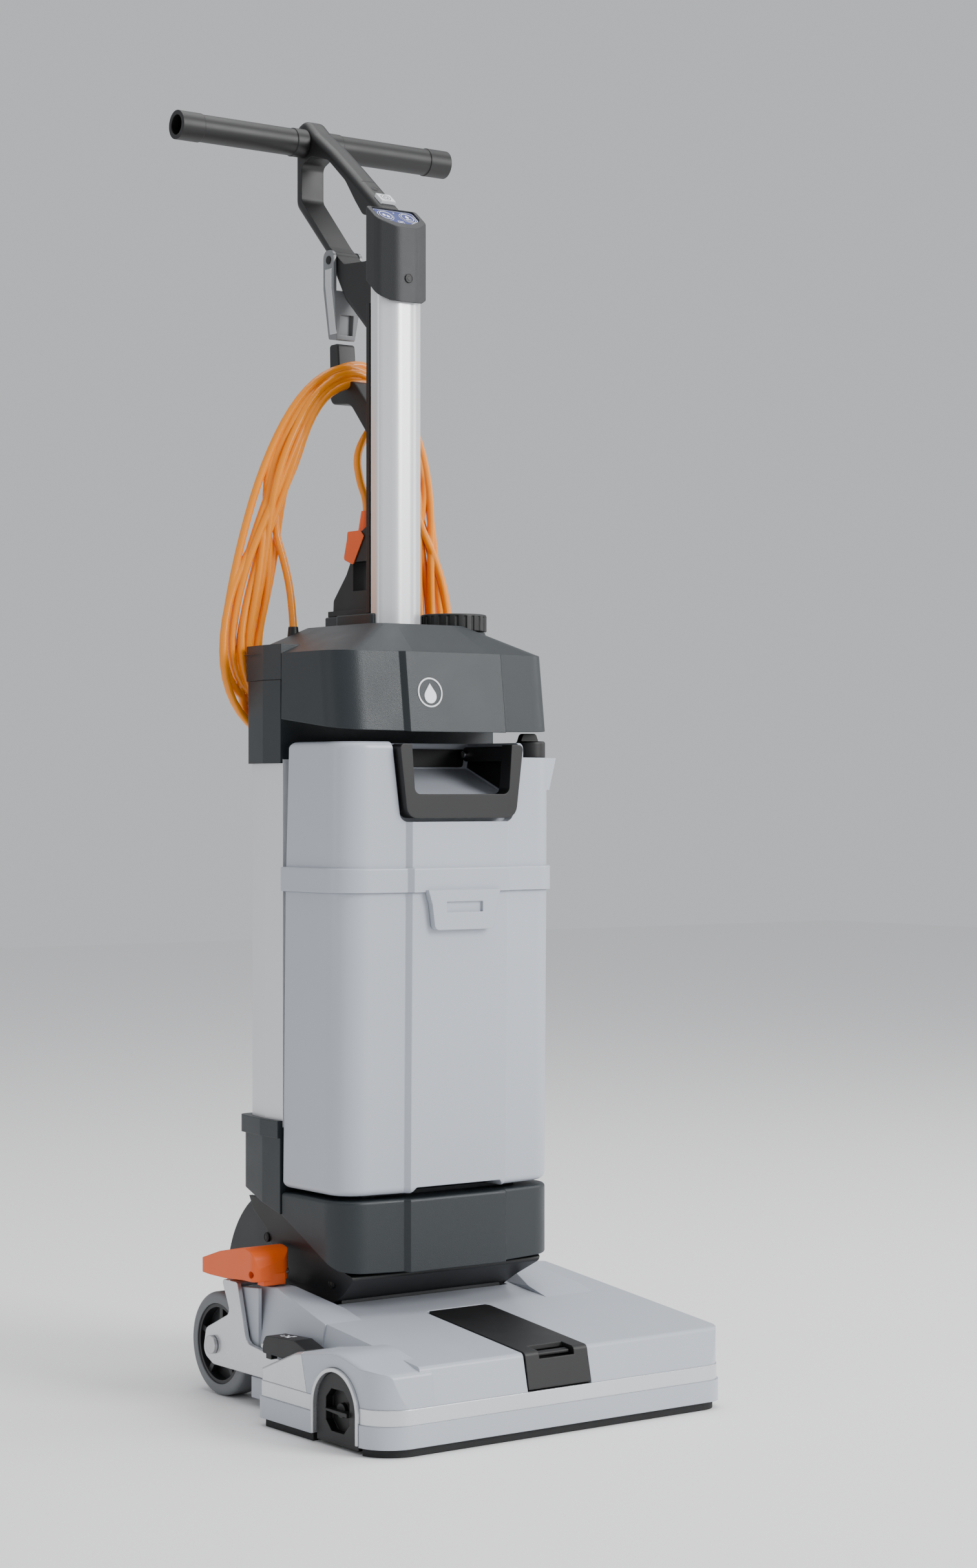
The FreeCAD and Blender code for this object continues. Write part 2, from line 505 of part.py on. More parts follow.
def keypad_room(clear):
    plan = prism("xy", sym([(22.5 - clear, 31 - clear, 3), (22.5 - clear, 15 + clear, 8),
                            (8, 5.5 + clear, 12)]), -3.2, 10)
    return slanted(plan)


def key_disc(x, radius, low, high):
    return slanted(rod("xy", x, 20, radius, low - 3.2, high - 3.2))


def button_room(clear):
    """The power button, or with a clearance the room it is pressed into."""
    travel = 3 if clear else 0
    block = box(-7.5 - clear, 7.5 + clear, 39 - clear, 51.5 + clear, -3 - travel, 3.5 + travel)
    return slanted(block)


# ---- handle ----
def build_handle():
    outer = [(HEAD_BACK + 0.2, 1042.4), (106, 1084.6, 60), (133, 1106, 60), (160, 1125, 30), (177, 1140, 11),
             (REAR, 1135, 9), (REAR, 1062, 14), (140, 1010, 10), (112, 966, 10), (80, 937, 8), (57.6, 925),
             (57.6, 960), (HEAD_BACK + 0.2, 960)]
    inner = [(HEAD_BACK - 2, 1000), (HEAD_BACK - 2, 1031), (80, 1038, 10), (92, 1052, 12), (108, 1073, 30),
             (136, 1096, 14), (164, 1104, 12), (179.5, 1098, 6), (179.5, 1066, 8), (133, 1017, 10),
             (110, 998, 8), (76, 996, 6), (57, 1000)]
    loop = soften(prism("yz", outer, -LOOP_HALF, LOOP_HALF), 7,
                  lambda c: abs(abs(c.x) - LOOP_HALF) < 0.1 and c.y > 60)
    loop = loop.cut([prism("yz", inner, -20, 20), rod("yz", BAR_Y, BAR_Z, BAR_R, -20, 20)])
    boss = rod("yz", KNUCKLE_Y, KNUCKLE_Z, 8.5, -LOOP_HALF, LOOP_HALF)
    loop = loop.fuse(boss).cut([rod("yz", KNUCKLE_Y, KNUCKLE_Z, 3.6, -30, 30), button_room(0.3)])
    seam = slanted(box(-LOOP_HALF - 1, LOOP_HALF + 1, 77, 77.8, 0.6, 6))
    node("handle_loop", loop.cut(seam))
    bar = tube("yz", BAR_Y, BAR_Z, BAR_R, 9, -BAR_HALF, BAR_HALF)
    spans = ((-BAR_HALF, -BAR_HALF + 23), (-25, -12.3), (12.3, 25), (BAR_HALF - 23, BAR_HALF))
    collars = [tube("yz", BAR_Y, BAR_Z, BAR_R + 0.7, BAR_R - 0.5, low, high) for low, high in spans]
    node("t_bar", join([bar] + collars))

    prong = prism("yz", [(57.7, 810), (80, 846, 14), (104, 872, 16), (136, 875, 8), (137.5, 929, 3),
                         (124, 929, 3), (120.5, 892.6, 4), (98, 892.6, 14), (78, 872, 14), (57.7, 852)], -9.5, 9.5)
    node("cord_hook", soften(prong, 1.5, lambda c: abs(abs(c.x) - 9.5) < 0.1 and c.y > 62))

    blade = prism("yz", [(121, KNUCKLE_Z + 9, 7), (138, KNUCKLE_Z + 9, 7), (137.5, 934, 2), (125, 932, 2),
                         (121, 970, 8)], -15.6, 15.6)
    gap = box(-12.6, 12.6, 110, 165, 976, 1020)
    taper = prism("xz", sym([(15.8, 1020), (15.8, 980, 6), (9.5, 930)]), 100, 160)
    relief = prism("yz", [(118, 955), (127, 955), (128.5, 937), (118, 937)], -7, 7)
    gate = blade.common(taper).cut([gap, relief, rod("yz", KNUCKLE_Y, KNUCKLE_Z, 3.65, -30, 30)])
    node("gate_lever", gate)

    fin = prism("yz", [(57.8, 682.3), (128, 682.3), (128, 687.5, 1), (124, 687.5, 0.5), (123.5, 697, 5),
                       (103, 719, 8), (80, 756, 3), (68, 762, 3), (57.8, 764)], -14, 14)
    foot = box(-17, 17, 57.8, 128, 682.3, 687.3)
    node("plug_hook", fin.fuse(foot).cut(box(-20, 20, 66, 92, 704, 730)).removeSplitter())


def build_power():
    body = prism("yz", [(80, 757.5, 2), (100, 757.5, 2), (100.5, 751, 1), (106, 733, 3), (91, 727.5, 3),
                        (74, 752)], -15, 15)
    body = body.cut(prism("yz", [(57, 682), (124, 682), (123.5, 697), (103, 719), (80.4, 756.4), (68, 764)],
                          -14.2, 14.2))
    neck = cone("xy", 0, 91, 8, 5, 757, 776)
    node("power_plug", body.fuse(neck).removeSplitter())


# ---- tanks ----


def build_tanks():
    low_out = loft("xy", [(body_plan(0.2, 52), TANK_LOW), (body_plan(0, 48, -2.5), TANK_SPLIT)])
    low_out = soften(low_out, 6, lambda c: c.z < TANK_LOW + 0.1)
    low_in = loft("xy", [(body_plan(3.2, 49), TANK_LOW + 4), (body_plan(3, 45, -2.5), TANK_SPLIT + 1)])
    notch = prism("xz", sym([(44, TANK_LOW + 5.2, 2), (49, TANK_LOW - 1)]), -60, 20)
    lower = low_out.cut([low_in, notch]).fuse(
        prism("xz", sym([(46, TANK_LOW + 8.6), (52, TANK_LOW + 3)]), -45, 20).common(low_out).cut(notch))
    node("recovery_tank", lower.removeSplitter())

    high_out = loft("xy", [(body_plan(0, 48, -2.5), TANK_SPLIT + 0.2), (body_plan(0.4, 43, -3.5), TANK_TOP)])
    high_out = soften(high_out, 6, lambda c: c.z > TANK_TOP - 0.1)
    high_in = loft("xy", [(body_plan(3, 45, -2.5), TANK_SPLIT + 4), (body_plan(3.4, 40, -3.5), TANK_TOP - 4)])
    high_out = high_out.cut(box(SHOULDER_X, 130, -60, SHOULDER_Y, SHOULDER_Z, 600))
    high_in = high_in.cut(box(SHOULDER_X - 3, 130, -60, SHOULDER_Y + 3, SHOULDER_Z - 3, 600))
    grip = prism("xz", sym([(68, TANK_TOP + 5), (59, 500, 8)]), -60, 30)
    grip = grip.cut(prism("yz", [(-60, 400), (-60, 515), (-30, 524), (30, 546), (40, 400)], -80, 80))
    grip_wall = prism("xz", sym([(71, TANK_TOP), (62, 496, 8)]), -60, 33)
    front_cut = prism("xz", sym([(68, TANK_TOP + 5), (59, 500, 8)]), -60, -38)
    band = prism("xy", body_plan(-3, 51, -2.5), TANK_SPLIT + 0.2, 461)
    band = soften(band, 1.5, lambda c: c.z > 460.9 and c.y < 50)
    tab = prism("xz", sym([(38, 442), (34, 430, 4), (31, 408, 5)]), -58, -51.9)
    window = box(-19, 19, -60, -55.5, 423, 432)
    spout = loft("xy", [(spout_plan(0.2), 527), (spout_plan(7.5), SHOULDER_Z - 1),
                        (spout_plan(7.5), SHOULDER_Z)])
    shell = high_out.fuse([band, spout, tab]).cut(high_in)
    bowl = grip_wall.common(high_out).fuse(front_cut.common(high_out))
    shell = shell.fuse(bowl).cut([grip, front_cut, window, rod("xy", CAP_X, CAP_Y, 9, 545, 580)])
    node("solution_tank", shell.removeSplitter())
    cap = soften(rod("xy", CAP_X, CAP_Y, 13, SHOULDER_Z + 0.3, 570), 2, lambda c: c.z > 569)
    wing = prism("xz", [(CAP_X - 10, 569), (CAP_X - 7, 576.8, 4), (CAP_X + 7, 576.8, 4), (CAP_X + 10, 569)],
                 CAP_Y + 1, CAP_Y + 7)
    node("tank_cap", join([cap, wing, rod("xy", CAP_X, CAP_Y, 8.9, 547, 560)]))

    bar = prism("xz", sym([(65, 566, 4), (57, 503, 11)]), -54.5, -40)
    hole = prism("xz", sym([(53, 570), (49.5, 523.5, 6)]), -60, -30)
    arms = []
    for side in (-1, 1):
        arm = box(side * 58.5 - 4.7, side * 58.5 + 4.7, -47, 14, 552.2, 564.8)
        arms.append(arm.fuse(rod("yz", 14, 558.5, 6.3, side * 58.5 - 4.7, side * 58.5 + 4.7)))
    bail = join([bar.cut(hole)] + arms)
    node("bail_handle", bail.cut(rod("yz", 14, 558.5, 3.05, -80, 80)))
    node("bail_pins", *[rod("yz", 14, 558.5, 3, min(side * 50, side * 74), max(side * 50, side * 74))
                        for side in (-1, 1)])


def spout_plan(reach):
    """Corners of the pouring lip on the right side of the solution tank."""
    edge = BODY_HALF - 0.5 + reach
    return [(100, -14, 3), (100, -34, 3), (edge, -30, 3), (edge, -20, 3)]


# ---- inner parts of the upright ----
def build_inside():
    node("water_pump", rod("yz", 8, 150, 18, -60, -10).fuse(box(-56, -14, -6, 22, 150, 176)).removeSplitter())
    hose = tube("xy", 60, 90, 17, 14, 200, 640)
    node("suction_hose", hose)


# ---- cord ----
RING_OUT = [(0, 912, 60), (62, 888, 60), (112, 790, 90), (128, 690, 70), (126, 620, 50), (92, 553, 60),
            (-92, 553, 60), (-126, 620, 50), (-128, 690, 70), (-112, 790, 90), (-62, 888, 60)]
RING_IN = [(0, 893.4, 14), (22, 880, 20), (64, 790, 90), (80, 690, 70), (80, 640, 40), (58, 582, 40),
           (-58, 582, 40), (-80, 640, 40), (-80, 690, 70), (-64, 790, 90), (-22, 880, 20)]
INLET_ROUTE = [(-60, 119, 672), (-61, 120, 698), (-68, 123, 728), (-86, 127, 764)]
PLUG_ROUTE = [(0, 91, 774), (-6, 92, 802), (-7, 95, 826), (6, 98, 847), (33, 112, 870)]


def build_cord():
    ring = prism("xz", RING_OUT, 100, 119).cut(prism("xz", RING_IN, 90, 130))
    ring.rotate(VEC(0, 110, 905), VEC(1, 0, 0), HANK_LEAN)
    node("cord_hank", ring.cut(NODES["cord_hook"]))
    node("cord_leads", cord_tube(INLET_ROUTE), cord_tube(PLUG_ROUTE))
    foot = rod("xy", INLET_ROUTE[0][0], INLET_ROUTE[0][1], 7.5, 642, 650)
    sleeve = cone("xy", INLET_ROUTE[0][0], INLET_ROUTE[0][1], 6.5, 4.4, 650, INLET_ROUTE[0][2])
    node("strain_relief", foot.fuse(sleeve))


def cord_tube(route):
    """Round cord along straight runs joined by arcs as large as the runs allow."""
    points = [VEC(*p) for p in route]
    runs = [(b - a).Length for a, b in zip(points, points[1:])]
    edges, start, radii = [], points[0], []
    for index in range(1, len(points) - 1):
        here = points[index]
        back = (points[index - 1] - here).normalize()
        ahead = (points[index + 1] - here).normalize()
        half = back.getAngle(ahead) / 2
        reach = 0.45 * min(runs[index - 1], runs[index])
        radius = reach * math.tan(half)
        middle = here + (back + ahead).normalize() * (radius / math.sin(half) - radius)
        edges.append(Part.LineSegment(start, here + back * reach).toShape())
        edges.append(Part.Arc(here + back * reach, middle, here + ahead * reach).toShape())
        start = here + ahead * reach
        radii.append(round(radius))
    edges.append(Part.LineSegment(start, points[-1]).toShape())
    path = Part.Wire(edges)
    ring = Part.Wire(Part.makeCircle(CORD_D / 2, points[0], points[1] - points[0]))
    cord = path.makePipeShell([ring], True, False)
    section = math.pi * CORD_D ** 2 / 4
    print("cord", "length", round(path.Length), "radii", radii,
          "volume ratio", round(cord.Volume / (section * path.Length), 3))
    return cord


build_deck()
build_drum()
build_drive()
build_wheels()
build_lower()
build_lid()
build_column()
build_handle()
build_power()
build_tanks()
build_inside()
build_cord()

os.makedirs("parts", exist_ok=True)
for name, shape in NODES.items():
    assert shape.isValid() and shape.Volume > 0, name
    shape.exportStep("parts/" + name + ".step")
print(len(NODES), "nodes")
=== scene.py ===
import json
import math
import random

import bmesh
import bpy
from mathutils import Matrix, Vector


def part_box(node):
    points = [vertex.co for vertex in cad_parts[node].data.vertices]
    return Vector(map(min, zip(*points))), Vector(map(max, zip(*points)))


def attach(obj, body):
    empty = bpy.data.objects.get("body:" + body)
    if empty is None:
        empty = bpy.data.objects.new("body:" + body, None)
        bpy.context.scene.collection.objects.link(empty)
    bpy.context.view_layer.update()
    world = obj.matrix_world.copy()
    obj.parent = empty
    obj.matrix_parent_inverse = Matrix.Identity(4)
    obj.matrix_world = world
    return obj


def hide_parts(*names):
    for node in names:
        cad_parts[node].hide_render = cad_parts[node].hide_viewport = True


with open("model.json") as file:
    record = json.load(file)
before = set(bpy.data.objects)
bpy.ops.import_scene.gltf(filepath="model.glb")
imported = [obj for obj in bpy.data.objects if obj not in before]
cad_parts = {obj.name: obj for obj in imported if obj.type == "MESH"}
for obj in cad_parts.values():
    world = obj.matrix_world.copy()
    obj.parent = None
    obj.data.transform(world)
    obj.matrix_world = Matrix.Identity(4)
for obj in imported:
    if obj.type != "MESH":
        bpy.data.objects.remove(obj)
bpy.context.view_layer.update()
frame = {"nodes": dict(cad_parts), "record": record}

NODES = frame["nodes"]
MM = 0.001


# ---- camera, light and floor (metres, degrees, watts) ----
CAMERA_PLACE, CAMERA_TURN = (-1.5138, -2.1374, 0.5246), (90, 0, -36.5)
SENSOR, LENS, SHIFT_UP = 36.0, 69.2, 0.0056
SKY_COLOUR, SKY_STRENGTH = (0.95, 0.97, 1.0, 1), 0.62
FLOOR_SIZE, FLOOR_COLOUR, FLOOR_ROUGHNESS = 14, (0.92, 0.92, 0.92, 1), 0.7
LIGHTS = {  # name: place, target, size, power
    "key": ((1.5, -3.0, 2.1), (0, 0, 0.5), (1.5, 2.0), 125),
    "right_fill": ((2.6, -0.6, 1.6), (0, 0, 0.5), (1.2, 2.0), 22),
    "top": ((0.2, 0.1, 3.0), (0, 0, 0.5), (2.2, 2.2), 50),
    "left_rim": ((-2.6, 0.6, 1.2), (0, 0, 0.7), (0.3, 2.0), 5),
}


def add_camera():
    """Level camera at the height of the tank, looking 36.5 degrees to the right of straight on."""
    data = bpy.data.cameras.new("camera")
    data.sensor_width = SENSOR
    data.lens = LENS
    data.shift_y = SHIFT_UP
    camera = bpy.data.objects.new("camera", data)
    camera.location = CAMERA_PLACE
    camera.rotation_euler = [math.radians(angle) for angle in CAMERA_TURN]
    bpy.context.scene.collection.objects.link(camera)
    bpy.context.scene.camera = camera


def area_light(name, place, target, size, power):
    data = bpy.data.lights.new(name, "AREA")
    data.shape = "RECTANGLE"
    data.size, data.size_y = size
    data.energy = power
    light = bpy.data.objects.new(name, data)
    light.location = place
    light.rotation_euler = (Vector(target) - Vector(place)).to_track_quat("-Z", "Y").to_euler()
    bpy.context.scene.collection.objects.link(light)


def add_stage():
    world = bpy.data.worlds.new("studio")
    bpy.context.scene.world = world
    world.use_nodes = True
    background = world.node_tree.nodes["Background"]
    background.inputs["Color"].default_value = SKY_COLOUR
    background.inputs["Strength"].default_value = SKY_STRENGTH
    for name, setting in LIGHTS.items():
        area_light(name, *setting)
    bpy.ops.mesh.primitive_plane_add(size=FLOOR_SIZE)
    floor = bpy.context.object
    floor.name = "floor"
    floor.data.materials.append(plain_floor())


def plain_floor():
    material = bpy.data.materials.new("floor_white")
    material.use_nodes = True
    shader = material.node_tree.nodes["Principled BSDF"]
    shader.inputs["Base Color"].default_value = FLOOR_COLOUR
    shader.inputs["Roughness"].default_value = FLOOR_ROUGHNESS
    return material


# ---- materials ----
COAT_ROUGHNESS, LEAST_ROUGHNESS = 0.12, 0.02
DRIFT_SCALE, DRIFT_DETAIL = 7.0, 4          # slow drift of the colour
DRIFT_START, DRIFT_END = 0.3, 0.7           # where on the noise the drift begins and ends
GLOSS_SCALE, GLOSS_DETAIL = 38.0, 3         # uneven gloss
GRAIN_DETAIL = 2
SCUFF = 0.06                                # how far the roughness varies
EDGE_ROUNDING, ROUNDING_SAMPLES = 1.1, 6    # apparent rounding of edges, mm
SHARP_ANGLE = 32                            # degrees; shading is smooth below it


def linear(red, green, blue):
    """Screen colour 0-255 as the linear colour that shaders take."""
    values = []
    for level in (red, green, blue):
        level /= 255
        values.append(level / 12.92 if level <= 0.04045 else ((level + 0.055) / 1.055) ** 2.4)
    return (*values, 1)


def finish_material(name, colour, rough, grain, bump, mottle=0.04, metal=0.0, coat=0.0, stretch=(1, 1, 1)):
    """Moulded, painted or metal surface: fine grain in the relief, slow colour drift and uneven gloss.

    grain is the texture scale per metre, bump its strength and mottle the share by which colour drifts.
    """
    material = bpy.data.materials.new(name)
    material.use_nodes = True
    tree = material.node_tree
    shader = tree.nodes["Principled BSDF"]
    shader.inputs["Metallic"].default_value = metal
    shader.inputs["Coat Weight"].default_value = coat
    shader.inputs["Coat Roughness"].default_value = COAT_ROUGHNESS
    place = tree.nodes.new("ShaderNodeTexCoord")
    scale = tree.nodes.new("ShaderNodeMapping")
    scale.inputs["Scale"].default_value = stretch
    tree.links.new(place.outputs["Object"], scale.inputs["Vector"])

    drift = noise(tree, scale, DRIFT_SCALE, DRIFT_DETAIL)
    ramp = tree.nodes.new("ShaderNodeValToRGB")
    low = tuple(c * (1 - mottle) for c in colour[:3]) + (1,)
    high = tuple(min(1, c * (1 + mottle)) for c in colour[:3]) + (1,)
    ramp.color_ramp.elements[0].position, ramp.color_ramp.elements[0].color = DRIFT_START, low
    ramp.color_ramp.elements[1].position, ramp.color_ramp.elements[1].color = DRIFT_END, high
    tree.links.new(drift, ramp.inputs["Fac"])
    tree.links.new(ramp.outputs["Color"], shader.inputs["Base Color"])

    gloss = tree.nodes.new("ShaderNodeMapRange")
    gloss.inputs["To Min"].default_value = max(LEAST_ROUGHNESS, rough - SCUFF)
    gloss.inputs["To Max"].default_value = rough + SCUFF
    tree.links.new(noise(tree, scale, GLOSS_SCALE, GLOSS_DETAIL), gloss.inputs["Value"])
    tree.links.new(gloss.outputs["Result"], shader.inputs["Roughness"])

    relief = tree.nodes.new("ShaderNodeBump")
    relief.inputs["Strength"].default_value = bump
    relief.inputs["Distance"].default_value = MM
    tree.links.new(noise(tree, scale, grain, GRAIN_DETAIL), relief.inputs["Height"])
    tree.links.new(relief.outputs["Normal"], shader.inputs["Normal"])
    rounding = tree.nodes.new("ShaderNodeBevel")
    rounding.samples = ROUNDING_SAMPLES
    rounding.inputs["Radius"].default_value = EDGE_ROUNDING * MM
    tree.links.new(rounding.outputs["Normal"], relief.inputs["Normal"])
    return material


def noise(tree, mapping, scale, detail):
    texture = tree.nodes.new("ShaderNodeTexNoise")
    texture.inputs["Scale"].default_value = scale
    texture.inputs["Detail"].default_value = detail
    tree.links.new(mapping.outputs["Vector"], texture.inputs["Vector"])
    return texture.outputs["Fac"]


MATERIALS = {
    "light_grey": finish_material("light_grey_plastic", linear(176, 181, 190), 0.34,
                                  grain=900, bump=0.02, mottle=0.02, coat=0.1),
    "silver_paint": finish_material("silver_paint", linear(205, 207, 210), 0.27,
                                    grain=2200, bump=0.03, mottle=0.03, metal=0.75, coat=0.3),
    "anthracite": finish_material("anthracite_plastic", linear(28, 35, 39), 0.42,
                                  grain=1500, bump=0.2, mottle=0.05),
    "black_plastic": finish_material("black_plastic", linear(12, 12, 13), 0.46,
                                     grain=900, bump=0.03, mottle=0.06),
    "dark_grey": finish_material("dark_grey_plastic", linear(33, 35, 37), 0.48,
                                 grain=1800, bump=0.22, mottle=0.05),
    "smoke_grey": finish_material("smoke_grey_plastic", linear(112, 114, 117), 0.25,
                                  grain=900, bump=0.03, mottle=0.06, coat=0.3),
    "aluminium": finish_material("anodised_aluminium", linear(226, 227, 229), 0.3,
                                 grain=500, bump=0.03, mottle=0.02, metal=0.45, stretch=(1, 1, 0.02)),
    "orange_plastic": finish_material("orange_plastic", linear(232, 92, 16), 0.38,
                                      grain=1200, bump=0.05, mottle=0.04),
    "cord_orange": finish_material("cord_jacket", linear(240, 140, 0), 0.3,
                                   grain=700, bump=0.03, mottle=0.05, coat=0.15),
    "rubber": finish_material("black_rubber", linear(20, 20, 21), 0.7,
                              grain=1000, bump=0.15, mottle=0.1),
    "tyre_grey": finish_material("grey_tyre", linear(112, 114, 117), 0.62,
                                 grain=800, bump=0.12, mottle=0.06),
    "hub_black": finish_material("hub_plastic", linear(28, 29, 31), 0.45,
                                 grain=1200, bump=0.08, mottle=0.05),
    "steel": finish_material("bright_steel", linear(190, 190, 192), 0.25, grain=900, bump=0.04, metal=1.0),
    "black_steel": finish_material("blackened_steel", linear(30, 30, 31), 0.35,
                                   grain=900, bump=0.04, metal=0.6),
    "motor_metal": finish_material("motor_casting", linear(120, 120, 122), 0.5,
                                   grain=400, bump=0.3, metal=0.8),
    "bristle": finish_material("nylon_bristle", linear(50, 60, 88), 0.55,
                               grain=1500, bump=0.2, mottle=0.2),
    "panel_blue": finish_material("printed_film", linear(30, 45, 120), 0.3,
                                  grain=1500, bump=0.03, mottle=0.04, coat=0.3),
    "button_white": finish_material("white_button", linear(214, 216, 219), 0.3, grain=900, bump=0.03),
    "print_white": finish_material("white_print", linear(235, 238, 242), 0.4, grain=900, bump=0.02),
    # print_dark is painted shade: the plain dark of the recess behind the bail and of the screw heads'
    # recesses and shadow rings.
    "print_dark": finish_material("painted_shade_dark", linear(10, 10, 11), 0.5, grain=900, bump=0.05),
}


def paint_frame():
    """Every carried-over node takes the finish of its slot in the record."""
    slots = {entry["node"]: entry["material_slot"] for entry in frame["record"]["subparts"]}
    for name, piece in NODES.items():
        piece.data.materials.clear()
        piece.data.materials.append(MATERIALS[slots[name]])
        smooth(piece)


def smooth(piece):
    """Smooth shading across gentle bends, sharp across edges."""
    mesh = piece.data
    for polygon in mesh.polygons:
        polygon.use_smooth = True
    mesh.set_sharp_from_angle(angle=math.radians(SHARP_ANGLE))


# ---- mesh helpers ----
def new_piece(name, mesh, material, body):
    piece = bpy.data.objects.new(name, mesh)
    bpy.context.scene.collection.objects.link(piece)
    piece.data.materials.append(MATERIALS[material])
    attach(piece, body)
    return piece


def mesh_of(build):
    """A mesh filled by `build(bm)`, with its normals turned outward."""
    bm = bmesh.new()
    build(bm)
    bmesh.ops.recalc_face_normals(bm, faces=bm.faces)
    mesh = bpy.data.meshes.new("piece")
    bm.to_mesh(mesh)
    bm.free()
    return mesh


def shift(x, y, z):
    """Matrix that moves by millimetres."""
    return Matrix.Translation(Vector((x, y, z)) * MM)


def turned(angle, axis):
    """Matrix that turns by degrees."""
    return Matrix.Rotation(math.radians(angle), 4, axis)


def slab(bm, outline, thickness, place):
    """Extruded flat shape: outline points (a, b) in mm, raised by thickness, moved by matrix `place`."""
    low = [bm.verts.new(place @ Vector((a * MM, b * MM, 0))) for a, b in outline]
    high = [bm.verts.new(place @ Vector((a * MM, b * MM, thickness * MM))) for a, b in outline]
    bm.faces.new(low[::-1])
    bm.faces.new(high)
    count = len(outline)
    for i in range(count):
        j = (i + 1) % count
        bm.faces.new((low[i], low[j], high[j], high[i]))


def ring(bm, centre, inner, outer, thickness, place, start=0.0, sweep=360.0, steps=40):
    """Flat ring or arc between two radii (mm) on the plane of `place`."""
    closed = sweep >= 360
    count = steps if closed else steps + 1
    spot = Vector((centre[0], centre[1], 0))
    section = [(inner, 0), (outer, 0), (outer, thickness), (inner, thickness)]
    rows = []
    for i in range(count):
        angle = math.radians(start + sweep * i / steps)
        unit = Vector((math.cos(angle), math.sin(angle), 0))
        rows.append([bm.verts.new(place @ ((spot + unit * radius + Vector((0, 0, height))) * MM))
                     for radius, height in section])
    for i in range(count if closed else count - 1):
        j = (i + 1) % count
        for k in range(4):
            m = (k + 1) % 4
            bm.faces.new((rows[i][k], rows[j][k], rows[j][m], rows[i][m]))
    if not closed:
        bm.faces.new(rows[0])
        bm.faces.new(rows[-1][::-1])


def loft(bm, rows):
    """Closed solid through rows of four vertices each."""
    for upper, lower in zip(rows, rows[1:]):
        for k in range(4):
            bm.faces.new((upper[k], upper[k - 1], lower[k - 1], lower[k]))
    bm.faces.new(rows[0])
    bm.faces.new(rows[-1][::-1])


def rounded(corners, radius, steps=6):
    """Polygon whose corners are rounded, as a list of points."""
    points = []
    count = len(corners)
    for index, corner in enumerate(corners):
        here = Vector(corner)
        back = (Vector(corners[index - 1]) - here).normalized()
        ahead = (Vector(corners[(index + 1) % count]) - here).normalized()
        half = back.angle(ahead) / 2
        centre = here + (back + ahead).normalized() * (radius / math.sin(half))
        first = here + back * (radius / math.tan(half)) - centre
        last = here + ahead * (radius / math.tan(half)) - centre
        turn = -first.angle_signed(last)
        for step in range(steps + 1):
            angle = turn * step / steps
            points.append((centre.x + first.x * math.cos(angle) - first.y * math.sin(angle),
                           centre.y + first.x * math.sin(angle) + first.y * math.cos(angle)))
    return points


MITRE = 1.35            # a corner's inward step for each unit of line width
LEAST_RADIUS = 0.2


def frame_line(bm, corners, radius, width, thickness, place):
    """Closed printed line of the given width, inside a rounded polygon."""
    outer = rounded(corners, radius)
    middle = Vector((sum(c[0] for c in corners) / len(corners), sum(c[1] for c in corners) / len(corners)))
    inner_corners = []
    for corner in corners:
        direction = Vector(corner) - middle
        inner_corners.append(tuple(middle + direction * (1 - width * MITRE / direction.length)))
    inner = rounded(inner_corners, max(LEAST_RADIUS, radius - width))
    (low_outer, low_inner), (high_outer, high_inner) = [
        [[bm.verts.new(place @ Vector((a * MM, b * MM, height * MM))) for a, b in loop]
         for loop in (outer, inner)] for height in (0, thickness)]
    for i in range(len(outer)):
        j = (i + 1) % len(outer)
        bm.faces.new((high_outer[i], high_outer[j], high_inner[j], high_inner[i]))
        bm.faces.new((low_outer[j], low_outer[i], low_inner[i], low_inner[j]))
        bm.faces.new((low_outer[i], low_outer[j], high_outer[j], high_outer[i]))
        bm.faces.new((low_inner[j], low_inner[i], high_inner[i], high_inner[j]))


def drop_outline(x, y, size, steps=24):
    """Water drop with its tip up, centred on (x, y): a round of 240 degrees and the tip."""
    radius, sunk, tip = 0.42 * size, 0.16 * size, 0.58 * size
    points = []
    for step in range(steps + 1):
        angle = math.radians(150 + 240 * step / steps)
        points.append((x + radius * math.cos(angle), y - sunk + radius * math.sin(angle)))
    return points + [(x, y + tip)]


# ---- cord (millimetres) ----
INLET = [(-60, 119, 672), (-61, 120, 698), (-66, 124, 730), (-76, 128, 764)]
RISE_TO_HOOK = [(-70, 120, 820), (-38, 112, 876)]
LEAVE_HOOK = [(4, 112, 914), (28, 112, 900)]
PLUG_END = [(34, 108, 882), (22, 103, 862), (4, 97, 847), (-9, 95, 826),
            (-7, 92, 802), (0, 91, 786), (0, 91, 774)]
TURN = [(0, 897), (47, 880), (79, 806), (97, 716), (107, 638), (76, 582), (0, 566),
        (-76, 582), (-107, 638), (-97, 716), (-79, 806), (-47, 880)]
STRETCHES = ["hook", "high_right", "high_right", "right", "right", "bottom", "bottom", "bottom",
             "left", "left", "high_left", "high_left"]
TURNS, FAN_SEED = 11, 11
FAN = [-3.0, -2.9, -1.7, -1.6, -1.5, -0.1, 0.0, 1.4, 1.5, 2.7, 2.8]     # places across the hank, in strands
STRAND = 8.2                                # one strand's share of the fan's width
HOOK_Y, HOOK_Z = 104, 897                   # the first turn's seat on the hook
SEATS, SEAT_STEP, SEAT_SHIFT, SEAT_RISE = 3, 5.6, 2.6, 5.3
HANK_TOP, HANK_HEIGHT, HANK_MIDDLE = 905, 337, 730
TIGHT, LOOSENING = 0.35, 1.6                # how far the fan is open at the top, and how fast it opens
SWAY, DEPTH_SWAY = 1.5, 8
FLATTEN, SIDESTEP = 0.8, 0.74               # fan up and down, and sideways for each mm of depth
HANG_Y, HANG_BACK = 110, 38                 # depth of the hank at its top, and how far its foot swings back
GATHER, GATHER_SPEED = 0.6, 3.2             # pull towards the hook's seat near the top
CORD_RADIUS = 3.5


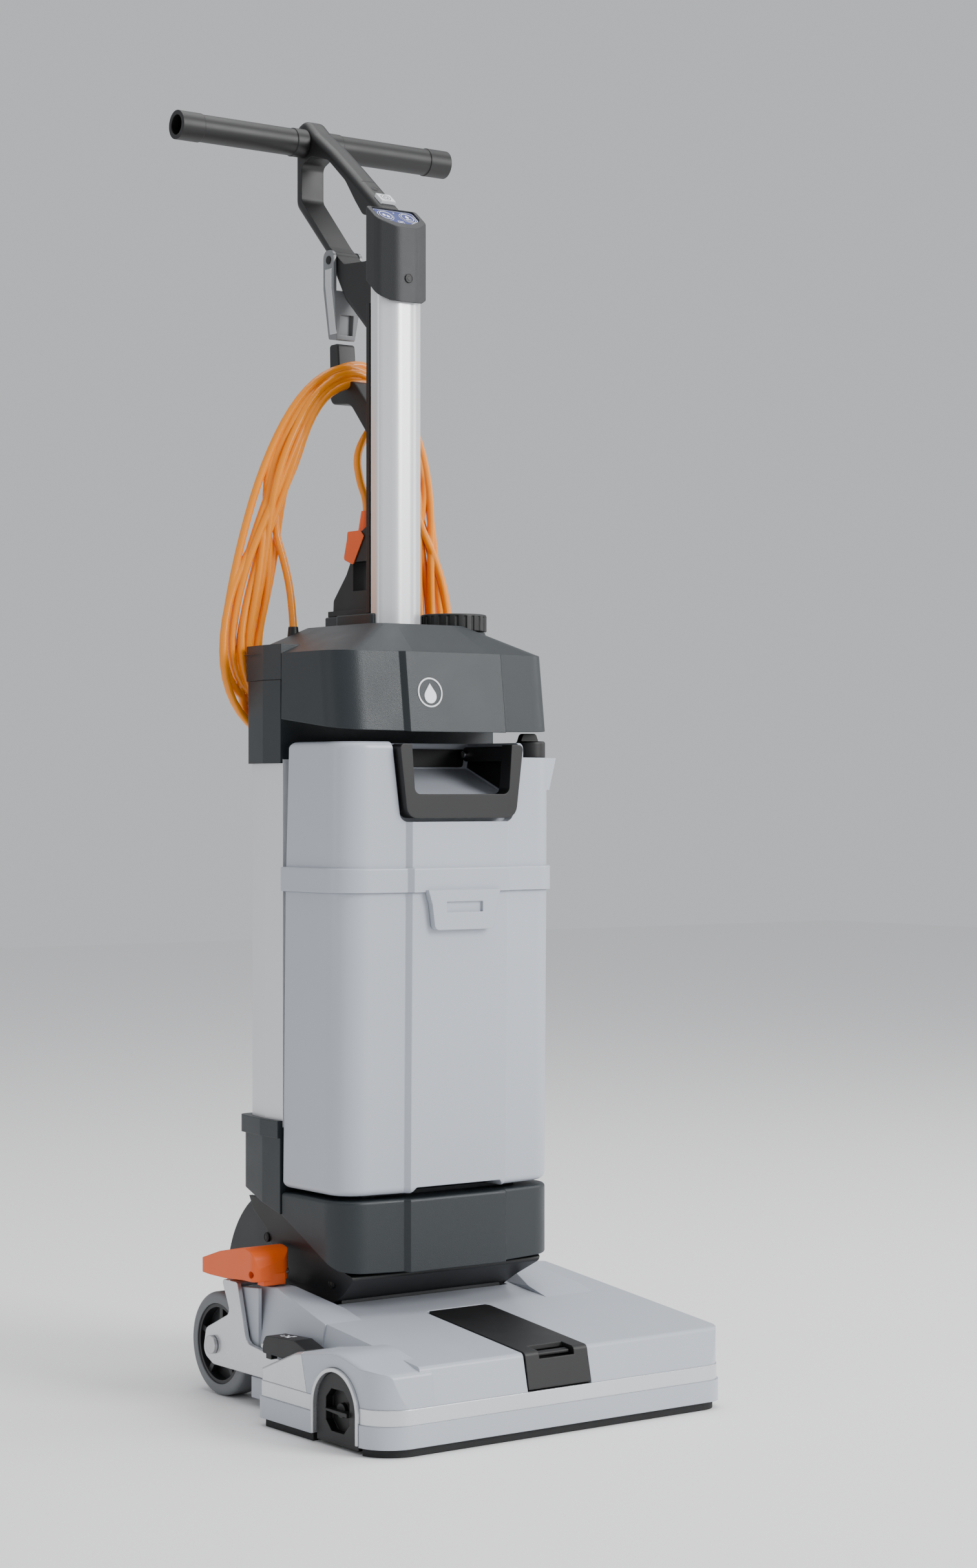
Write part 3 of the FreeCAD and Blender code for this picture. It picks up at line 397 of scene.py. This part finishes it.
def cord_route():
    """From the gland up into the hank, round its turns over the hook, then down to the plug.

    Every turn takes another place in the fan on each stretch, so the strands cross as they hang.
    """
    draw = random.Random(FAN_SEED)
    fans = {stretch: draw.sample(FAN, TURNS) for stretch in sorted(set(STRETCHES))}
    route = INLET + RISE_TO_HOOK
    for turn in range(TURNS):
        row, column = divmod(turn, SEATS)
        seat_y = HOOK_Y + SEAT_STEP * column + SEAT_SHIFT * (row % 2)
        for (x, z), stretch in zip(TURN, STRETCHES):
            if stretch == "hook":
                route.append((x, seat_y, HOOK_Z + SEAT_RISE * row))
                continue
            drop = (HANK_TOP - z) / HANK_HEIGHT
            loose = min(1.0, TIGHT + LOOSENING * drop)
            out = fans[stretch][turn] * STRAND * loose + draw.uniform(-SWAY, SWAY) * loose
            away = draw.uniform(-DEPTH_SWAY, DEPTH_SWAY) * loose
            up = z - HANK_MIDDLE
            length = math.hypot(x, up)
            gather = GATHER * max(0.0, 1 - GATHER_SPEED * drop)
            route.append((x + x / length * out + SIDESTEP * away,
                          (HANG_Y + HANG_BACK * drop + away) * (1 - gather) + seat_y * gather,
                          z + up / length * out * FLATTEN))
    return route + LEAVE_HOOK + PLUG_END


def add_cord():
    curve = bpy.data.curves.new("cord", "CURVE")
    curve.dimensions = "3D"
    curve.bevel_depth = CORD_RADIUS * MM
    curve.bevel_resolution = 4
    curve.resolution_u = 6
    spline = curve.splines.new("NURBS")
    route = cord_route()
    spline.points.add(len(route) - 1)
    for point, spot in zip(spline.points, route):
        point.co = (*[value * MM for value in spot], 1)
    spline.order_u = 3
    spline.use_endpoint_u = True
    cord = bpy.data.objects.new("power_cord", curve)
    bpy.context.scene.collection.objects.link(cord)
    curve.materials.append(MATERIALS["cord_orange"])
    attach(cord, "upright")
    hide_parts("cord_leads", "cord_hank")


# ---- printed marks, painted shade in screw recesses and behind the bail, and other small pieces (millimetres, degrees) ----
PANEL = shift(0, 28, 1020.6) @ turned(38.5, "X")        # the head cap's sloping top
PANEL_SUNK = PANEL @ shift(0, 0, -3.2)                  # floor of the pocket that holds the keypad
PANEL_FACE, KEY_FACE = 1.6, 1.9                         # heights above that floor
POWER_BUTTON = PANEL @ shift(0, 45.2, 3.5)
PRINT, SIGN_PRINT = 0.12, 0.25                          # thickness of printed marks
KEY_X, KEY_Y = 11.5, 20
BORDER = [(21.4, 30), (21.4, 15.9), (7.7, 6.6), (-7.7, 6.6), (-21.4, 15.9), (-21.4, 30)]


def block(left, low, right, high):
    """Corners of an upright rectangle, counter-clockwise."""
    return [(left, low), (right, low), (right, high), (left, high)]


def add_keypad_print():
    face = PANEL_SUNK @ shift(0, 0, PANEL_FACE)

    def border(bm):
        frame_line(bm, BORDER, 3.5, 0.6, PRINT, face)
        for x in (-KEY_X, KEY_X):
            ring(bm, (x, KEY_Y), 7.5, 8.0, PRINT, face)
        tank_sign = [(3.0, 12.6), (3.0, 8.0), (-3.0, 8.0), (-3.0, 12.6)]
        frame_line(bm, tank_sign, 0.6, 0.5, PRINT, face)
        slab(bm, block(-1.6, 9.6, 1.6, 11.0), PRINT, face)
        ring(bm, (0, 26.5), 0, 0.9, PRINT, face, steps=14)
    new_piece("panel_print", mesh_of(border), "print_white", "upright")

    key = PANEL_SUNK @ shift(0, 0, KEY_FACE)
    key_ring = (5.8, 6.4)

    def water(bm):
        ring(bm, (-KEY_X, KEY_Y), *key_ring, PRINT, key)
        for x, y in ((-1.8, 0.6), (1.6, -1.4)):
            slab(bm, drop_outline(-KEY_X + x, KEY_Y + y, 4.0), PRINT, key)
    new_piece("key_water_print", mesh_of(water), "print_white", "key_water")

    def suction(bm):
        ring(bm, (KEY_X, KEY_Y), *key_ring, PRINT, key)
        slab(bm, drop_outline(KEY_X, KEY_Y + 1.4, 4.4), PRINT, key)
        nozzle = [(-3.4, -3.6), (3.4, -3.6), (2.2, -2.4), (-2.2, -2.4)]
        slab(bm, [(KEY_X + a, KEY_Y + b) for a, b in nozzle], PRINT, key)
    new_piece("key_suction_print", mesh_of(suction), "print_white", "key_suction")

    def power(bm):
        ring(bm, (0, 0), 4.3, 4.8, PRINT, POWER_BUTTON)
        ring(bm, (0, -0.1), 1.9, 2.5, PRINT, POWER_BUTTON, start=125, sweep=290, steps=26)
        slab(bm, block(-0.3, 0.6, 0.3, 3.1), PRINT, POWER_BUTTON)
    new_piece("power_print", mesh_of(power), "dark_grey", "power_button")


def add_emblem():
    """Plain round printed sign on the lid: a drop in a ring."""
    lid_lean = 6.9
    face = shift(-27.6, -45.4, 610) @ turned(90 - lid_lean, "X")

    def sign(bm):
        ring(bm, (0, 0), 11.4, 12.8, SIGN_PRINT, face, steps=56)
        slab(bm, drop_outline(0, -0.8, 15), SIGN_PRINT, face)
    new_piece("lid_sign", mesh_of(sign), "print_white", "upright")


def add_recess_painted_shade():
    """Painted shade: dark plates on the back and the right side of the recess behind the bail, where the
    lid's overhang shades it.
    """
    back = shift(0, 29.6, 0) @ turned(90, "X")
    back_plate = [(-63, 563), (63, 563), (60, 547.2), (-60, 547.2)]
    side_plate = [(-37, 561), (27, 561), (27, 546.8), (-37, 523.5)]     # (y, z)
    wall_x, wall_foot, wall_slope = 59, 500, 0.1233         # the recess's right wall leans out as it rises
    plate_in, plate_out = 0.3, -0.8

    def shade_plates(bm):
        slab(bm, rounded(back_plate, 3), 1.2, back)
        loft(bm, [[bm.verts.new(Vector((wall_x + (z - wall_foot) * wall_slope + off, y, z)) * MM)
                   for y, z in side_plate] for off in (plate_in, plate_out)])
    new_piece("recess_painted_shade", mesh_of(shade_plates), "print_dark", "tank_unit")


def add_lever_print():
    """Two arrows and a ring on the release lever's top."""
    face = shift(-153, -18, 71.2) @ turned(-2.6, "X")
    arrow = [(-4.5, 5), (-3.4, 6), (3.2, -2.6), (4.6, -1.2), (5, -6), (0.4, -5.2), (1.9, -3.8)]

    def sign(bm):
        for mirror in (1, -1):
            slab(bm, [(mirror * x, y) for x, y in arrow][::mirror], PRINT, face)
        ring(bm, (0, 9), 1.4, 2.1, PRINT, face, steps=20)
    new_piece("lever_print", mesh_of(sign), "print_white", "release_lever")


def add_screw_recess_shade():
    """Painted shade on each visible screw head: a flat dark six-lobed mark for the shade in its recess, and
    a painted shadow ring.
    """
    lobes, star_radius, lobe_height, star_steps = 6, 2.1, 0.35, 36
    star = []
    for step in range(star_steps):
        angle = 2 * math.pi * step / star_steps
        radius = star_radius + lobe_height * math.cos(lobes * angle)
        star.append((radius * math.cos(angle), radius * math.sin(angle)))
    head_cap, loop_foot = shift(0, 25.15, 975) @ turned(90, "X"), PANEL_SUNK @ shift(0, 65, 4.1)
    housing_screws = ((109.85, 85, 138), (95.75, 4, 107))
    places = [head_cap, loop_foot] + [shift(side * x, y, z) @ turned(side * 90, "Y")
                                      for side in (-1, 1) for x, y, z in housing_screws]

    def recess(bm):
        for place in places:
            slab(bm, star, 0.1, place)
            ring(bm, (0, 0), 3.2, 3.6, 0.15, place)
    new_piece("torx_recess_shade", mesh_of(recess), "print_dark", "upright")


def add_gate_strips():
    """Bright strips down both sides of the gate lever."""
    side_line = [(15.6, 996), (15.6, 982), (10.4, 938)]                     # (x, z)
    section = ((-0.3, 124), (0.45, 124.6), (0.45, 134.4), (-0.3, 135))      # (height over the side, y)

    def strips(bm):
        for side in (-1, 1):
            loft(bm, [[bm.verts.new(Vector((side * (x + height), y, z)) * MM) for height, y in section]
                      for x, z in side_line])
    new_piece("gate_strips", mesh_of(strips), "silver_paint", "gate_lever")


TUFT_ROWS, TUFT_SPACING, FIRST_TUFT, TUFT_SEED = 12, 9.0, 5, 3
TUFT_TWIST, TUFT_SWAY = 0.11, 0.02                          # radians
TUFT_SIDES = 7
TUFT_RINGS = ((0.46, 1.7), (0.75, 2.3), (0.985, 3.1))       # (share of the brush's radius, tuft radius)


def add_tufts():
    """Nylon tufts of the brush in a gentle helix round its core."""
    low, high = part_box("brush_bristles")
    middle = (low + high) / 2
    spacing = TUFT_SPACING * MM
    count = int((high.x - low.x) / spacing)
    reach = (high.z - low.z) / 2
    circle = [2 * math.pi * k / TUFT_SIDES for k in range(TUFT_SIDES)]

    def tuft(bm, x, angle):
        spoke = Vector((0, math.cos(angle), math.sin(angle)))
        side = Vector((0, -math.sin(angle), math.cos(angle)))
        rings = []
        for share, width in TUFT_RINGS:
            spot = Vector((x, middle.y, middle.z)) + spoke * reach * share
            rings.append([bm.verts.new(spot + (side * math.cos(a) + Vector((1, 0, 0)) * math.sin(a))
                                       * width * MM) for a in circle])
        for inner, outer in zip(rings, rings[1:]):
            for k in range(TUFT_SIDES):
                m = (k + 1) % TUFT_SIDES
                bm.faces.new((inner[k], inner[m], outer[m], outer[k]))
        bm.faces.new(rings[-1])
        bm.faces.new(rings[0][::-1])

    def tufts(bm):
        draw = random.Random(TUFT_SEED)
        for row in range(TUFT_ROWS):
            for step in range(count):
                sway = draw.uniform(-TUFT_SWAY, TUFT_SWAY)
                tuft(bm, low.x + FIRST_TUFT * MM + step * spacing,
                     2 * math.pi * row / TUFT_ROWS + step * TUFT_TWIST + sway)
    piece = new_piece("bristle_tufts", mesh_of(tufts), "bristle", "brush_roller")
    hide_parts("brush_bristles")


add_camera()
add_cord()
add_stage()
paint_frame()
add_keypad_print()
add_emblem()
add_recess_painted_shade()
add_lever_print()
add_screw_recess_shade()
add_gate_strips()
add_tufts()
